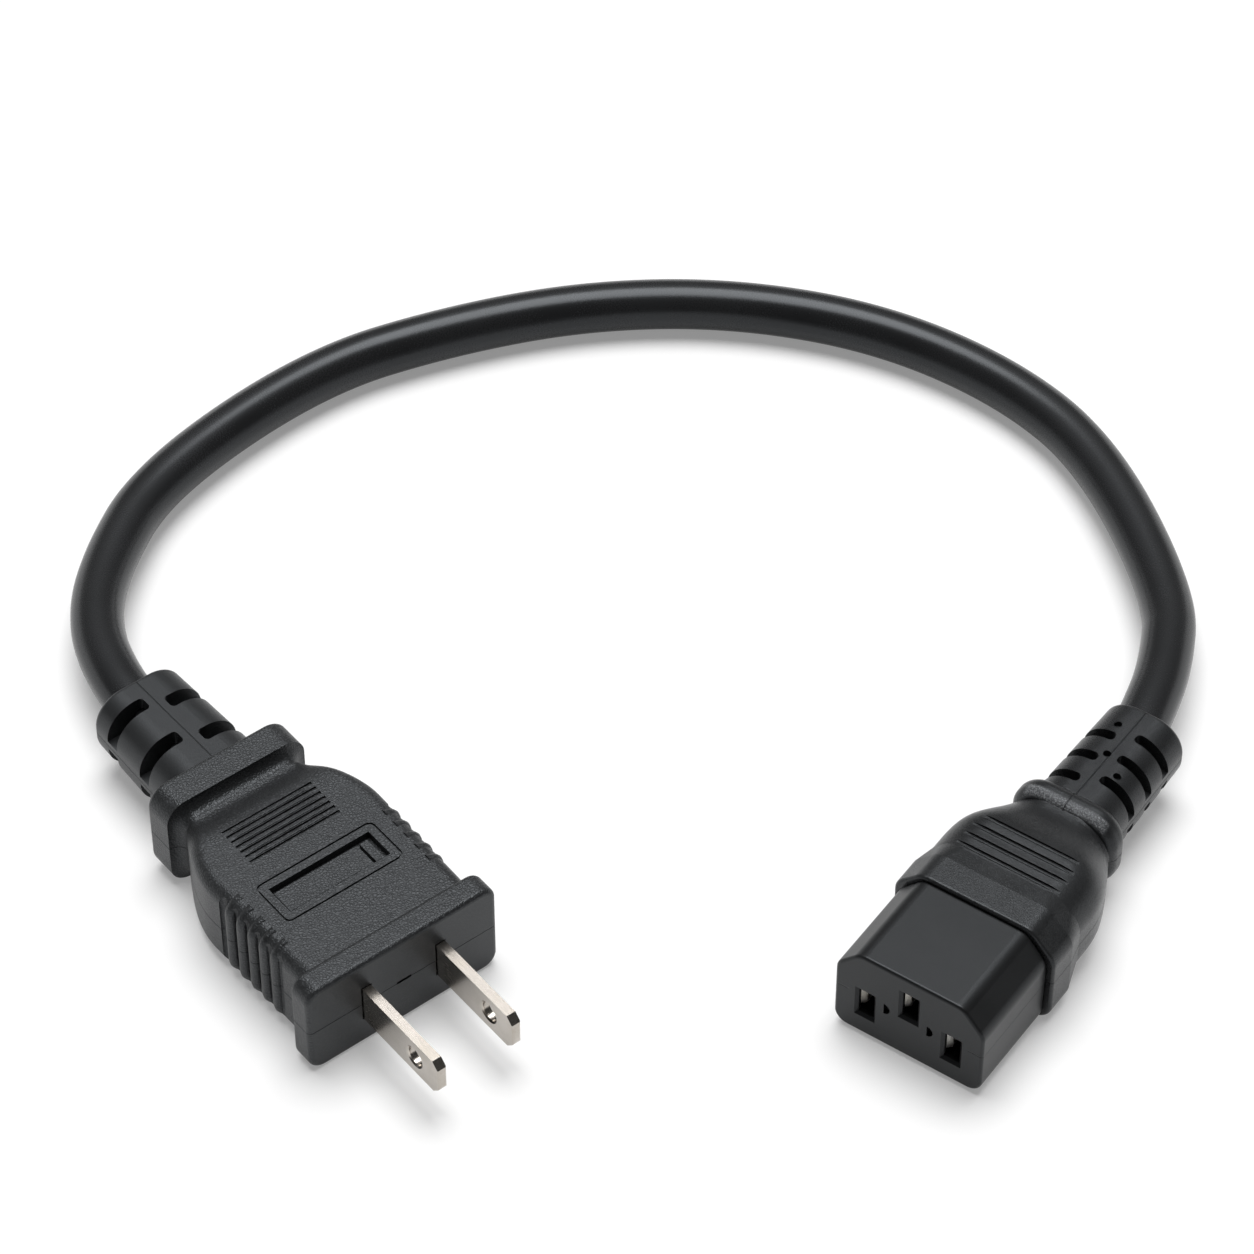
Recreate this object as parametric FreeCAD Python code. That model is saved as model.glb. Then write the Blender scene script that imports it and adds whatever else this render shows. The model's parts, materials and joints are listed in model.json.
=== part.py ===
import FreeCAD, Part
import math
import os

from FreeCAD import Placement, Rotation, Vector

# Short mains lead: a moulded two-blade plug, a round cord and an appliance connector.
# Millimetres. The plug lies flat on z = 0 with its blades along +X and its middle over
# the origin. The connector lies on the same surface at the far end of the cord.
# Both mouldings are built in frames of their own: x = 0 at the mating face, +x out of
# it, y across, z = 0 on the parting line.

# Play between a moulded body and what it encloses, and round a blade where it comes out,
# the groove at each body's neck, and the rounding of moulded edges.
moulded_gap = 0.05
neck_groove_depth = 0.3
blade_exit_gap = 0.15
edge_round = 0.8

# Blades, folded and stamped to the standard outlet.
blade_pitch = 12.7
blade_height = 6.35
blade_thickness = 1.5
blade_length = 17.5
blade_tip_cut = 1.4
blade_tip_bevel = 0.35
blade_hole_diameter = 3.2
blade_hole_from_face = 11.9
blade_hole_rim = 0.25
blade_tail_length = 16.6
blade_tail_height = 3.6

# Plug body, from its outlet face backwards.
front_flange_width = 32.4
front_flange_height = 16.4
front_flange_thickness = 4.2
front_flange_corner = 2.4
body_length = 33.4
body_front_width = 28.4
body_width = 29.4
body_height = 14.8
body_corner = 2.2
shoulder_length = 12.4
neck_width = 20.4
neck_height = 12.2
neck_length = 0.5
body_drop_start = 0.55
rear_flange_thickness = 6.8
rear_flange_width = 23.8
rear_flange_height = 15.8
rear_flange_corner = 3.4
rear_flange_cove = 1.7

# Grip grooves down both sides of the plug body.
grip_count = 6
grip_pitch = 2.6
grip_from_face = 9.3
grip_groove_radius = 0.85
grip_groove_depth = 0.8

# Cross lines and marking window on the upper side of the plug, left unlettered.
line_count = 7
line_pitch = 1.13
line_from_face = 25.0
line_length = 15.4
line_width = 0.5
line_depth = 0.35
window_from_face = 14.4
window_length = 5.2
window_width = 17.2
window_depth = 1.3
window_trough = 1.0
window_slit = 0.2
window_plate_drop = 0.2
window_block_width = 1.3
window_block_slit = 0.45
frame_margin = 1.2
frame_line_width = 0.3
frame_corner = 0.8
gate_mark_length = 2.4
gate_mark_width = 0.5
gate_mark_depth = 0.3

# Strain reliefs: oval sleeves with rows of slots on all four quarters. A stagger sets the
# rows on the left further back than those on the right, or nearer where it is negative.
plug_relief_length = 20.4
plug_relief_root = (15.9, 12.9)
plug_relief_rim = (14.8, 11.6)
plug_slot_width = 2.5
plug_slot_rows = 2
plug_slot_pitch = 8.5
plug_slot_first = 5.0
plug_slot_stagger = 2.0
connector_relief_length = 19.7
connector_relief_root = (13.6, 12.1)
connector_relief_rim = (12.9, 11.1)
connector_slot_width = 1.7
connector_slot_rows = 3
connector_slot_pitch = 4.9
connector_slot_first = 4.3
connector_slot_stagger = -1.7
relief_corner = 5.0
relief_mouth_flare = 0.5
relief_mouth_depth = 8.0
slot_corner = 0.7
relief_top_web = 2.4
relief_side_web = 1.6

# Hard carrier that holds the two blades inside the plug.
carrier_from_face = 2.6
carrier_length = 9.0
carrier_side_wall = 3.4
carrier_top_wall = 1.5
carrier_corner = 1.2
carrier_groove_width = 2.4
carrier_groove_depth = 0.8

# Cord and its two cores.
cord_diameter = 8.0
core_diameter = 3.0
core_spread = 3.5
conductor_diameter = 1.5
conductor_play = 0.02
core_bend_radius = 6.0
core_straight = 2.6
bare_length = 5.4
plug_jacket_inside = 18.6
connector_jacket_inside = 18.4
crimp_wall = 0.5
crimp_length = 4.4
crimp_seam = 0.15

# Appliance connector, from its mating face backwards.
nose_width = 24.0
nose_height = 16.0
nose_length = 16.6
nose_bevel_across = 3.6
nose_bevel_down = 3.9
nose_corner = 2.2
nose_bevel_round = 2.6
nose_edge_round = 0.5
nose_tongue_length = 5.4
nose_tongue_inset = 1.3
nose_front_wall = 1.0
pin_pitch = 7.0
pin_offset = -1.7
earth_pin_rise = 4.0
slot_width = 2.5
slot_height = 4.8
slot_lead_in = 0.45
cavity_width = 4.4
cavity_height = 6.2
core_out_radius = 1.0
core_out_depth = 0.8
core_out_drop = 0.4
collar_width = 26.2
collar_height = 17.1
collar_bevel_across = 4.1
collar_bevel_down = 4.2
collar_bevel_round = 3.0
collar_corner = 3.2
collar_length = 5.9
collar_taper_start = 1.0
collar_taper_length = 3.4
shell_width = 24.8
shell_height = 16.6
shell_corner = 6.0
shell_length = 16.9
shell_shoulder = 11.6
shell_drop_start = 0.25
shell_neck_width = 16.6
shell_neck_height = 12.6
shell_neck_length = 0.5
ridge_width = 17.2
ridge_height = 13.5
ridge_length = 4.2
ridge_corner = 5.0
ridge_round = 1.7
shell_line_count = 4
shell_line_pitch = 2.05
shell_line_from_face = 25.0
shell_line_length = 17.0
dimple_diameter = 1.2
dimple_depth = 0.8
dimples = [(6.1, 2.9), (9.0, -0.5), (14.9, -2.2)]

# Spring contacts, folded from strip, and the moulding that closes them in.
strip_thickness = 0.4
contact_height = 4.4
contact_mouth = 1.5
contact_mouth_flare = 0.7
contact_throat = 1.8
contact_throat_from_mouth = 0.7
contact_throat_length = 3.0
contact_spread = 3.3
contact_length = 11.2
contact_tail_height = 2.4
contact_tail_length = 1.0
backing_length = 8.4
backing_width = 20.4
backing_height = 12.2
backing_corner = 2.0

# Where the connector lies, how far from each jacket end the cord first turns, and the
# points that it turns at between, each with its lift above the cord's lying height.
connector_place_x = 72.8
connector_place_y = 49.9
connector_turn = -73.05
plug_cord_turn_at = 11.6
connector_cord_turn_at = 11.6
cord_turns = [
    (-46.0, 0.4, 3.9),
    (-59.1, 4.5, 2.8),
    (-70.7, 13.0, 1.4),
    (-82.4, 30.0, 0.4),
    (-86.8, 63.4, 0.0),
    (-80.7, 86.7, 0.0),
    (-71.5, 107.7, 0.0),
    (-57.7, 125.8, 0.0),
    (-39.1, 140.1, 0.0),
    (-17.1, 147.7, 0.0),
    (4.0, 147.4, 0.4),
    (34.3, 135.0, 1.6),
    (46.0, 125.0, 3.1),
    (52.4, 115.4, 4.2),
]

# Places worked out from the sizes above.
flanges_and_neck = front_flange_thickness + neck_length + rear_flange_thickness
plug_length = flanges_and_neck + body_length + plug_relief_length
plug_face_x = (plug_length + blade_length) / 2 - blade_length
plug_axis_z = front_flange_height / 2
neck_x = -(front_flange_thickness + body_length)
rear_flange_x = neck_x - neck_length
plug_relief_x = rear_flange_x - rear_flange_thickness
plug_rim_x = plug_relief_x - plug_relief_length
plug_jacket_x = plug_rim_x + plug_jacket_inside
carrier_back_x = -(carrier_from_face + carrier_length)
collar_x = -nose_length
shell_x = collar_x - collar_length
shell_neck_x = shell_x - shell_length
ridge_x = shell_neck_x - shell_neck_length
connector_relief_x = ridge_x - ridge_length
connector_rim_x = connector_relief_x - connector_relief_length
connector_jacket_x = connector_rim_x + connector_jacket_inside
backing_x = collar_x - nose_tongue_length
contact_end_x = -(contact_mouth + contact_length)
contact_crimp_x = backing_x - contact_tail_length
blade_crimp_x = -blade_tail_length
earth_offset = pin_offset + earth_pin_rise
contact_seats = {
    "live": (-pin_pitch, pin_offset),
    "earth": (0.0, earth_offset),
    "neutral": (pin_pitch, pin_offset),
}
crimp_bore = conductor_diameter + 2 * conductor_play
plug_place = Placement(Vector(plug_face_x, 0, plug_axis_z), Rotation())
connector_place = Placement(
    Vector(connector_place_x, connector_place_y, collar_height / 2),
    Rotation(Vector(0, 0, 1), connector_turn),
)


def rounded_outline(corners):
    """Closed wire through corners, each a point with the radius that rounds it."""
    arcs = []
    for index, (point, radius) in enumerate(corners):
        to_before = (corners[index - 1][0] - point).normalize()
        to_after = (corners[(index + 1) % len(corners)][0] - point).normalize()
        half_turn = (math.pi - to_before.getAngle(to_after)) / 2
        reach = radius * math.tan(half_turn)
        inwards = (to_before + to_after).normalize()
        middle = point + inwards * (radius / math.cos(half_turn) - radius)
        arcs.append((point + to_before * reach, middle, point + to_after * reach))
    edges = []
    for index, (start, middle, end) in enumerate(arcs):
        edges.append(Part.Arc(start, middle, end).toShape())
        edges.append(Part.LineSegment(end, arcs[(index + 1) % len(arcs)][0]).toShape())
    return Part.Wire(edges)


def rounded_section(x, width, height, corner):
    """Upright rectangle with round corners, across the axis at x."""
    sides = [(1, 1), (-1, 1), (-1, -1), (1, -1)]
    return rounded_outline([(Vector(x, y * width / 2, z * height / 2), corner) for y, z in sides])


def bevelled_section(x, width, height, across, down, upper_round, lower_round):
    """The connector's outline across the axis at x: upper corners bevelled, lower ones square."""
    half_w, half_h = width / 2, height / 2
    bevel_y, bevel_z = half_w - across, half_h - down
    upper = [(half_w, bevel_z), (bevel_y, half_h), (-bevel_y, half_h), (-half_w, bevel_z)]
    lower = [(-half_w, -half_h), (half_w, -half_h)]
    corners = [(Vector(x, y, z), upper_round) for y, z in upper]
    corners += [(Vector(x, y, z), lower_round) for y, z in lower]
    return rounded_outline(corners)


def rounded_plan(back, front, width, corner, level):
    """Flat face seen from above, with round corners."""
    corners = [(back, -1), (back, 1), (front, 1), (front, -1)]
    return Part.Face(rounded_outline([(Vector(x, side * width / 2, level), corner) for x, side in corners]))


def bar(x_front, length, width, height, corner):
    """Straight bar of that section, running back from x_front."""
    return Part.Face(rounded_section(x_front, width, height, corner)).extrude(Vector(-length, 0, 0))


def edges_at(shape, x):
    """Edges that lie whole in the plane across the axis at x."""
    return [e for e in shape.Edges if abs(e.BoundBox.XMin - x) < 1e-6 and abs(e.BoundBox.XMax - x) < 1e-6]


def loft(sections):
    """Smooth solid through a list of (x, width, height, corner), straight between two of them."""
    return Part.makeLoft([rounded_section(*section) for section in sections], True, len(sections) == 2)


def box(x_back, x_front, width, height, y=0.0, z=0.0):
    """Box from x_back to x_front, centred on y and z."""
    corner = Vector(x_back, y - width / 2, z - height / 2)
    return Part.makeBox(x_front - x_back, width, height, corner)


def slot_plan(x, y_inner, y_outer, width):
    """Flat face of a slot that ends at y_inner with rounded corners, at the parting line's level."""
    side = 1 if y_outer > y_inner else -1
    back, front = x - width / 2, x + width / 2
    round_y = y_inner + side * slot_corner
    near = slot_corner * (1 - math.sqrt(0.5))
    outer = [(back, round_y), (back, y_outer), (front, y_outer), (front, round_y)]
    outer = [Vector(x, y, 0) for x, y in outer]
    inner = [Vector(front - slot_corner, y_inner, 0), Vector(back + slot_corner, y_inner, 0)]
    middles = [Vector(front - near, y_inner + side * near, 0), Vector(back + near, y_inner + side * near, 0)]
    edges = [Part.LineSegment(start, end) for start, end in zip(outer, outer[1:])]
    edges.append(Part.Arc(outer[3], middles[0], inner[0]))
    edges.append(Part.LineSegment(inner[0], inner[1]))
    edges.append(Part.Arc(inner[1], middles[1], outer[0]))
    return Part.Face(Part.Wire([edge.toShape() for edge in edges]))


def fuse_all(shapes):
    """One solid from shapes that meet."""
    return shapes[0].multiFuse(shapes[1:]).removeSplitter()


def turn_radius(before, point, after):
    """Radius at a point of the cord: 0.45 of the shorter run over the tangent of half the turn."""
    turn = (point - before).getAngle(after - point)
    return 0.45 * min(before.distanceToPoint(point), point.distanceToPoint(after)) / math.tan(turn / 2)


def rounded_path(points, radius=None):
    """Wire of straight runs joined by tangent arcs, with a set radius or as large as the runs allow."""
    edges = []
    last = points[0]
    for before, point, after in zip(points, points[1:], points[2:]):
        turn = (point - before).getAngle(after - point)
        bend = radius or turn_radius(before, point, after)
        reach = bend * math.tan(turn / 2)
        to_before = (before - point).normalize()
        to_after = (after - point).normalize()
        inwards = (to_before + to_after).normalize()
        start = point + to_before * reach
        end = point + to_after * reach
        middle = point + inwards * (bend / math.cos(turn / 2) - bend)
        edges.append(Part.LineSegment(last, start).toShape())
        edges.append(Part.Arc(start, middle, end).toShape())
        last = end
    edges.append(Part.LineSegment(last, points[-1]).toShape())
    return Part.Wire(edges)


def tube(path, diameter):
    """Round solid swept along a path that starts straight."""
    start = path.Edges[0].valueAt(path.Edges[0].FirstParameter)
    heading = path.Edges[0].tangentAt(path.Edges[0].FirstParameter)
    ring = Part.Wire(Part.makeCircle(diameter / 2, start, heading))
    return path.makePipeShell([ring], True, True)


def blade_outline(front, back, height, tip_cut):
    """Side view of a blade: a strip with its two tip corners cut off."""
    half = height / 2
    points = [
        (back, -half),
        (front - tip_cut, -half),
        (front, -half + tip_cut),
        (front, half - tip_cut),
        (front - tip_cut, half),
        (back, half),
    ]
    corners = [Vector(x, 0, z) for x, z in points]
    return Part.Face(Part.makePolygon(corners + corners[:1]))


def crimp(x_front, y, z, extra=0.0):
    """Barrel that is rolled round the end of a conductor, solid where extra is given."""
    outer = crimp_bore / 2 + crimp_wall + extra
    back = Vector(-1, 0, 0)
    barrel = Part.makeCylinder(outer, crimp_length + 2 * extra, Vector(x_front + extra, y, z), back)
    if extra:
        return barrel
    bore = Part.makeCylinder(crimp_bore / 2, crimp_length, Vector(x_front, y, z), back)
    seam = box(x_front - crimp_length, x_front, crimp_seam, outer + 1, y, z + (outer + 1) / 2)
    return barrel.cut(fuse_all([bore, seam]))


def blade(side):
    """Blade with its through hole, its narrower tail in the plug and its crimp."""
    y = side * blade_pitch / 2
    thick = Vector(0, blade_thickness, 0)
    plate = blade_outline(blade_length, carrier_back_x, blade_height, blade_tip_cut).extrude(thick)
    plate.translate(Vector(0, y - blade_thickness / 2, 0))
    plate = plate.makeChamfer(blade_tip_bevel, edges_at(plate, blade_length)[:4])
    tail = box(blade_crimp_x, carrier_back_x, blade_thickness, blade_tail_height, y)
    axis_start = Vector(blade_hole_from_face, y - blade_thickness / 2, 0)
    hole = Part.makeCylinder(blade_hole_diameter / 2, blade_thickness, axis_start, Vector(0, 1, 0))
    wide = blade_hole_diameter / 2 + blade_hole_rim
    rims = []
    for face_y, inwards in ((y - blade_thickness / 2, 1), (y + blade_thickness / 2, -1)):
        start = Vector(blade_hole_from_face, face_y, 0)
        along = Vector(0, inwards, 0)
        rims.append(Part.makeCone(wide, blade_hole_diameter / 2, blade_hole_rim, start, along))
    return fuse_all([plate, tail, crimp(blade_crimp_x, y, 0)]).cut(fuse_all([hole] + rims))


def carrier_block(extra=0.0):
    """Outer shape of the blade carrier with its locking groove, grown by extra."""
    width = blade_pitch + 2 * carrier_side_wall + 2 * extra
    height = blade_height + 2 * carrier_top_wall + 2 * extra
    block = bar(-carrier_from_face + extra, carrier_length + 2 * extra, width, height, carrier_corner)
    middle = -carrier_from_face - carrier_length / 2 + carrier_groove_width / 2 - extra
    groove_length = carrier_groove_width - 2 * extra
    ring = bar(middle, groove_length, width + 2, height + 2, carrier_corner)
    inner_width, inner_height = width - 2 * carrier_groove_depth, height - 2 * carrier_groove_depth
    core = bar(middle, groove_length, inner_width, inner_height, carrier_corner)
    return block.cut(ring.cut(core))


def plug_core_points(side, end_x):
    """Run of one core from the jacket's end, out to the line of its blade, to end_x."""
    near = side * core_spread / 2
    far = side * blade_pitch / 2
    crimp_end = blade_crimp_x - crimp_length
    return [
        Vector(plug_jacket_x, near, 0),
        Vector(plug_jacket_x + core_straight, near, 0),
        Vector(crimp_end - bare_length / 2, far, 0),
        Vector(end_x, far, 0),
    ]


def connector_core_points(side, end_x):
    """Run of one core from the jacket's end, out and down to its contact, to end_x."""
    near = side * core_spread / 2
    far = side * pin_pitch
    crimp_end = contact_crimp_x - crimp_length
    return [
        Vector(connector_jacket_x, near, 0),
        Vector(connector_jacket_x + core_straight, near, 0),
        Vector(crimp_end - bare_length / 2, far, pin_offset),
        Vector(end_x, far, pin_offset),
    ]


def core_pair(points_of, side, crimp_x):
    """Insulation and conductor of one core, the conductor reaching into the crimp."""
    crimp_end = crimp_x - crimp_length
    skin_path = rounded_path(points_of(side, crimp_end - moulded_gap), core_bend_radius)
    wire_path = rounded_path(points_of(side, crimp_x - moulded_gap), core_bend_radius)
    bore = tube(wire_path, conductor_diameter + 2 * conductor_play)
    return tube(skin_path, core_diameter).cut(bore), tube(wire_path, conductor_diameter)


def core_channel(points_of, side, crimp_x):
    """Space that a moulding leaves for one core and its crimp."""
    path = rounded_path(points_of(side, crimp_x - crimp_length), core_bend_radius)
    end = points_of(side, crimp_x)[-1]
    return fuse_all([tube(path, core_diameter + 2 * moulded_gap), crimp(crimp_x, end.y, end.z, moulded_gap)])


def shoulder(x_start, length, widths, heights, corner, drop_start, steps=6):
    """Sections that draw a body in to its neck: the width on a quarter wave, and the height
    on a soft S that starts at drop_start of the length."""
    sections = []
    for step in range(steps + 1):
        along = step / steps
        share = math.cos(math.pi / 2 * along)
        fall = max(0.0, (along - drop_start) / (1 - drop_start))
        width = widths[1] + (widths[0] - widths[1]) * share
        height = heights[1] + (heights[0] - heights[1]) * (1 + math.cos(math.pi * fall)) / 2
        sections.append((x_start - length * along, width, height, corner))
    return sections


def cove(x_start, length, widths, heights, corners, steps=4):
    """Sections of a hollow that runs out from a neck to the edge of a flange behind it."""
    sections = []
    for step in range(steps + 1):
        along = math.sin(math.pi / 2 * step / steps)
        share = 1 - math.cos(math.pi / 2 * step / steps)
        sizes = [low + (high - low) * share for low, high in (widths, heights, corners)]
        sections.append((x_start - length * along, *sizes))
    return sections


def relief_slots(root_x, first, pitch, rows, stagger, width, root_size):
    """Slots through the wall of a strain relief, on all four quarters."""
    reach = root_size[0]
    cuts = []
    for row in range(rows):
        for side in (-1, 1):
            x = root_x - first - row * pitch - (stagger if side < 0 else 0)
            plan = slot_plan(x, side * relief_top_web / 2, side * reach, width)
            for level in (-1, 1):
                cut = plan.extrude(Vector(0, 0, level * reach))
                cut.translate(Vector(0, 0, level * relief_side_web / 2))
                cuts.append(cut)
    return cuts


def relief(root_x, length, root_size, rim_size):
    """Oval sleeve that tapers from the body to the cord, with a rounded rim."""
    overlap = 2.0
    root = bar(root_x + overlap, overlap, root_size[0], root_size[1], relief_corner)
    sleeve = loft([(root_x, *root_size, relief_corner), (root_x - length, *rim_size, relief_corner)])
    sleeve = sleeve.makeFillet(edge_round, edges_at(sleeve, root_x - length))
    return [root, sleeve]


def cord_bore(jacket_x, rim_x):
    """Bore for the cord's jacket through a strain relief, flared where the cord comes out."""
    radius = cord_diameter / 2 + moulded_gap
    back = Vector(-1, 0, 0)
    bore = Part.makeCylinder(radius, jacket_x - rim_x + 1, Vector(jacket_x, 0, 0), back)
    mouth_start = Vector(rim_x + relief_mouth_depth, 0, 0)
    mouth = Part.makeCone(radius, radius + relief_mouth_flare, relief_mouth_depth, mouth_start, back)
    return [bore, mouth]


def plug_outside():
    """The plug's moulding before anything is cut out of it."""
    flange = bar(0, front_flange_thickness, front_flange_width, front_flange_height, front_flange_corner)
    flange = flange.makeFillet(edge_round, edges_at(flange, 0) + edges_at(flange, -front_flange_thickness))
    shoulder_x = neck_x + shoulder_length
    front = (-front_flange_thickness, body_front_width, body_height, body_corner)
    full = (shoulder_x, body_width, body_height, body_corner)
    sizes = (body_width, neck_width), (body_height, neck_height)
    drawn_in = shoulder(shoulder_x, shoulder_length, *sizes, body_corner, body_drop_start)
    body = [loft([front, full]), loft(drawn_in)]
    groove = 2 * neck_groove_depth
    neck_size = (neck_width - groove, neck_height - groove)
    neck = bar(neck_x + 1, neck_length + 2, *neck_size, body_corner)
    widths = (neck_size[0], rear_flange_width)
    heights = (neck_size[1], rear_flange_height)
    hollow = loft(cove(rear_flange_x, rear_flange_cove, widths, heights, (body_corner, rear_flange_corner)))
    rear_edge_x = rear_flange_x - rear_flange_cove
    rear_length = rear_flange_thickness - rear_flange_cove
    rear = bar(rear_edge_x, rear_length, rear_flange_width, rear_flange_height, rear_flange_corner)
    rear = rear.makeFillet(edge_round, edges_at(rear, plug_relief_x))
    sleeve = relief(plug_relief_x, plug_relief_length, plug_relief_root, plug_relief_rim)
    return fuse_all([flange] + body + [neck, hollow, rear] + sleeve)


def grip_grooves():
    """Upright grooves down both sides of the plug, which leave the ribs between them."""
    cuts = []
    for index in range(grip_count):
        x = -(grip_from_face + index * grip_pitch)
        for side in (-1, 1):
            y = side * (body_width / 2 + grip_groove_radius - grip_groove_depth)
            start = Vector(x, y, -body_height / 2 - 1)
            cuts.append(Part.makeCylinder(grip_groove_radius, body_height + 2, start))
    return cuts


def upper_marks():
    """Cross lines, window with its plate, and frame line, cut into the plug's upper side."""
    top = body_height / 2
    cuts = []
    for index in range(line_count):
        x = -(line_from_face + index * line_pitch)
        cuts.append(box(x - line_width, x, line_length, 2 * line_depth, 0, top))
    front = -window_from_face
    back = front - window_length
    pocket = box(back, front, window_width, 2 * window_depth, 0, top)
    block_end = window_width / 2 - window_trough
    block_start = block_end - window_block_width
    plate_start = window_slit - window_width / 2
    plate_end = block_start - window_block_slit
    plate_back = back + window_trough
    plate_front = front - window_slit
    block_z = top - window_plate_drop - window_depth
    for start, end in ((plate_start, plate_end), (block_start, block_end)):
        middle = (start + end) / 2
        pocket = pocket.cut(box(plate_back, plate_front, end - start, 2 * window_depth, middle, block_z))
    cuts.append(pocket)
    plans = []
    for line in (frame_line_width, 0.0):
        grow = frame_margin + line
        corner = frame_corner + line
        width = window_width + 2 * grow
        plans.append(rounded_plan(back - grow, front + grow, width, corner, top - line_depth))
    cuts.append(plans[0].cut(plans[1]).extrude(Vector(0, 0, 2 * line_depth)))
    cuts.append(box(-gate_mark_depth, 1, gate_mark_length, gate_mark_width))
    return cuts


def plug_moulding():
    """Outer moulding of the plug round its carrier, blades, cores and cord."""
    cuts = grip_grooves() + upper_marks() + [carrier_block(moulded_gap)]
    cuts += relief_slots(
        plug_relief_x, plug_slot_first, plug_slot_pitch, plug_slot_rows,
        plug_slot_stagger, plug_slot_width, plug_relief_root,
    )
    for side in (-1, 1):
        y = side * blade_pitch / 2
        exit_width = blade_thickness + 2 * blade_exit_gap
        cuts.append(box(-carrier_from_face, 1, exit_width, blade_height + 2 * blade_exit_gap, y))
        tail_height = blade_tail_height + 2 * moulded_gap
        cuts.append(box(blade_crimp_x, carrier_back_x, blade_thickness + 2 * moulded_gap, tail_height, y))
        cuts.append(core_channel(plug_core_points, side, blade_crimp_x))
    cuts += cord_bore(plug_jacket_x, plug_rim_x)
    return plug_outside().cut(fuse_all(cuts))


def carrier():
    """Hard block that holds both blades at their pitch."""
    block = carrier_block()
    for side in (-1, 1):
        width = blade_thickness + 2 * moulded_gap
        height = blade_height + 2 * moulded_gap
        block = block.cut(box(carrier_back_x - 1, 0, width, height, side * blade_pitch / 2))
    return block


def nose_block(x_front, length, inset=0.0):
    """Bar of the connector's mating outline."""
    size = (nose_width - 2 * inset, nose_height - 2 * inset)
    bevel = (nose_bevel_across, nose_bevel_down, nose_bevel_round, nose_corner)
    outline = bevelled_section(x_front, *size, *bevel)
    return Part.Face(outline).extrude(Vector(-length, 0, 0))


def lead_in(y, z):
    """Funnel at the mouth of one pin slot."""
    wide_w, wide_h = slot_width + 2 * slot_lead_in, slot_height + 2 * slot_lead_in
    wires = []
    for x, width, height in ((0.0, wide_w, wide_h), (-slot_lead_in, slot_width, slot_height)):
        sides = ((1, 1), (-1, 1), (-1, -1), (1, -1))
        corners = [Vector(x, y + a * width / 2, z + b * height / 2) for a, b in sides]
        wires.append(Part.makePolygon(corners + corners[:1]))
    return Part.makeLoft(wires, True, True)


def nose():
    """Hard front of the connector, with three slots that open into the contacts' cavities."""
    front = nose_block(0, nose_length)
    front = front.makeFillet(nose_edge_round, edges_at(front, 0) + edges_at(front, collar_x))
    tongue = nose_block(collar_x + 1, nose_tongue_length + 1, nose_tongue_inset)
    cuts = []
    for y, z in contact_seats.values():
        cuts.append(lead_in(y, z))
        cuts.append(box(-nose_front_wall - 1, 0, slot_width, slot_height, y, z))
        cuts.append(box(backing_x - 1, -nose_front_wall, cavity_width, cavity_height, y, z))
    for side in (-1, 1):
        start = Vector(-core_out_depth, side * pin_pitch / 2 - core_out_radius / 2, -core_out_drop)
        disc = Part.makeCylinder(core_out_radius, core_out_depth + 1, start, Vector(1, 0, 0))
        cuts.append(disc.cut(box(-core_out_depth - 1, 2, 4, 4, start.y - 2, start.z)))
    return fuse_all([front, tongue]).cut(fuse_all(cuts))


def strip(points, height, z):
    """Bent strip: a line in plan with the strip's thickness laid to its left, and its height."""
    outer = []
    for index, point in enumerate(points):
        before = points[max(index - 1, 0)]
        after = points[min(index + 1, len(points) - 1)]
        run = (after - before).normalize()
        outer.append(point + Vector(-run.y, run.x, 0) * strip_thickness)
    face = Part.Face(Part.makePolygon(points + outer[::-1] + points[:1]))
    solid = face.extrude(Vector(0, 0, height))
    solid.translate(Vector(0, 0, z - height / 2))
    return solid


def contact(y, z, crimped):
    """Female contact: two bowed leaves that grip the pin, a web and a tail."""
    leaves = []
    throat_end = -contact_mouth - contact_throat_from_mouth - contact_throat_length
    bow = strip_thickness / 4
    for side in (-1, 1):
        plan = [
            (-contact_mouth, contact_throat / 2 + contact_mouth_flare),
            (-contact_mouth - contact_throat_from_mouth, contact_throat / 2),
            (throat_end, contact_throat / 2 + bow),
            (contact_end_x, contact_spread / 2),
            (contact_end_x - strip_thickness, contact_spread / 2),
        ]
        line = [Vector(x, y + side * across, 0) for x, across in plan]
        leaves.append(strip(line[::-side], contact_height, z))
    web_width = contact_spread + 2 * strip_thickness
    web = box(contact_end_x - strip_thickness, contact_end_x, web_width, contact_height, y, z)
    tail_end = contact_crimp_x if crimped else backing_x + strip_thickness
    tail = box(tail_end, contact_end_x, strip_thickness, contact_tail_height, y, z)
    parts = leaves + [web, tail]
    if crimped:
        parts.append(crimp(contact_crimp_x, y, z))
    return fuse_all(parts)


def backing():
    """Inner moulding that closes the cavities and holds the crimps and cores."""
    block = bar(backing_x - moulded_gap, backing_length, backing_width, backing_height, backing_corner)
    cuts = []
    for side in (-1, 1):
        cuts.append(core_channel(connector_core_points, side, contact_crimp_x))
        tail_width = strip_thickness + 2 * moulded_gap
        tail_height = contact_tail_height + 2 * moulded_gap
        cuts.append(box(contact_crimp_x, backing_x, tail_width, tail_height, side * pin_pitch, pin_offset))
    return block.cut(fuse_all(cuts))


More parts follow.
